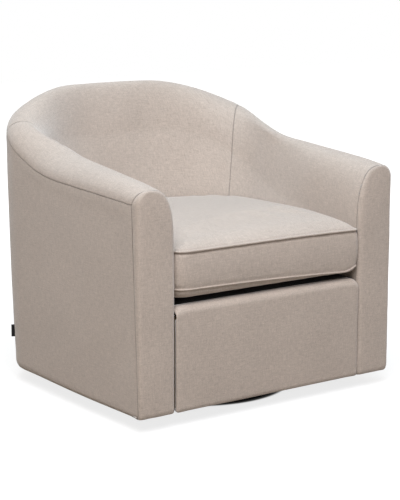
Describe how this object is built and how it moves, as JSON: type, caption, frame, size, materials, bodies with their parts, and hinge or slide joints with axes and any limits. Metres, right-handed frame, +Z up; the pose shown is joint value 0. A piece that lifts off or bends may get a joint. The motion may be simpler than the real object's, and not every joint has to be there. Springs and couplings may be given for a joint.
{
  "type": "swivel tub armchair",
  "caption": "Low upholstered tub armchair with sweeping arms and a loose crowned seat cushion, turning on a hidden ball-bearing swivel above a round floor base.",
  "frame": {"origin": "on the floor, where the swivel axis meets it, in the middle of the base's felt pad", "axes": "+Z up along the swivel axis, -Y towards the front of the seat, +X to the right as seen from the front"},
  "size_m": [0.7882, 0.7566, 0.752],
  "materials": {
    "upholstery": "plain weave, greige",
    "black_cloth": "thin black cloth",
    "felt": "black felt",
    "foam": "polyurethane foam",
    "wadding": "polyester wadding",
    "black_board": "board painted matt black",
    "hardwood": "planed, unfinished",
    "steel": "zinc plated",
    "cage_plastic": "moulded",
    "webbing": "elastic webbing"
  },
  "bodies": {
    "base": {"floor_pad": "felt", "base_disc": "black_board", "lower_swivel_plate": "steel", "lower_plate_screws": "steel", "king_pin": "steel"},
    "cage": {"ball_cage": "cage_plastic", "bearing_balls": "steel"},
    "chair": {"apron_cover": "upholstery", "apron_pad": "foam", "back_bottom_rail": "hardwood", "back_foam": "foam", "back_seat_rail": "hardwood", "back_straps": "webbing", "back_tack_rail": "hardwood", "back_top_rail": "hardwood", "back_wadding": "wadding", "corner_blocks": "hardwood", "deck_cover": "upholstery", "deck_pad": "wadding", "dust_cover": "black_cloth", "front_rail": "hardwood", "inside_back_cover": "upholstery", "left_arm_board": "hardwood", "left_arm_foam": "foam", "left_arm_front_cover": "upholstery", "left_arm_front_pad": "foam", "left_arm_front_post": "hardwood", "left_arm_rail": "hardwood", "left_back_post": "hardwood", "left_bottom_rail": "hardwood", "left_deck_rail": "hardwood", "left_inside_arm_cover": "upholstery", "left_outside_cover": "upholstery", "left_side_wadding": "wadding", "outside_back_cover": "upholstery", "rear_cross_rail": "hardwood", "right_arm_board": "hardwood", "right_arm_foam": "foam", "right_arm_front_cover": "upholstery", "right_arm_front_pad": "foam", "right_arm_front_post": "hardwood", "right_arm_rail": "hardwood", "right_back_post": "hardwood", "right_bottom_rail": "hardwood", "right_deck_rail": "hardwood", "right_inside_arm_cover": "upholstery", "right_outside_cover": "upholstery", "right_side_wadding": "wadding", "seat_springs": "steel", "side_tag": "black_cloth", "spring_clips": "steel", "swivel_slats": "hardwood", "upper_plate_screws": "steel", "upper_swivel_plate": "steel"},
    "cushion": {"cushion_bottom": "upholstery", "cushion_bottom_welt": "upholstery", "cushion_boxing": "upholstery", "cushion_foam": "foam", "cushion_top": "upholstery", "cushion_top_welt": "upholstery"}
  },
  "joints": [
    {"name": "seat_swivel", "type": "hinge", "parent": "base", "child": "chair", "pos_m": [0, 0, 0.033], "axis": [0, 0, 1], "continuous": true},
    {"name": "cage_turn", "type": "hinge", "parent": "base", "child": "cage", "pos_m": [0, 0, 0.033], "axis": [0, 0, 1], "continuous": true},
    {"name": "cushion_lift", "type": "slide", "parent": "chair", "child": "cushion", "axis": [0, 0, 1], "range_m": [0, 0.3]}
  ],
  "couplings": [
    {"joint": "cage_turn", "follows": "seat_swivel", "ratio": 0.5}
  ]
}
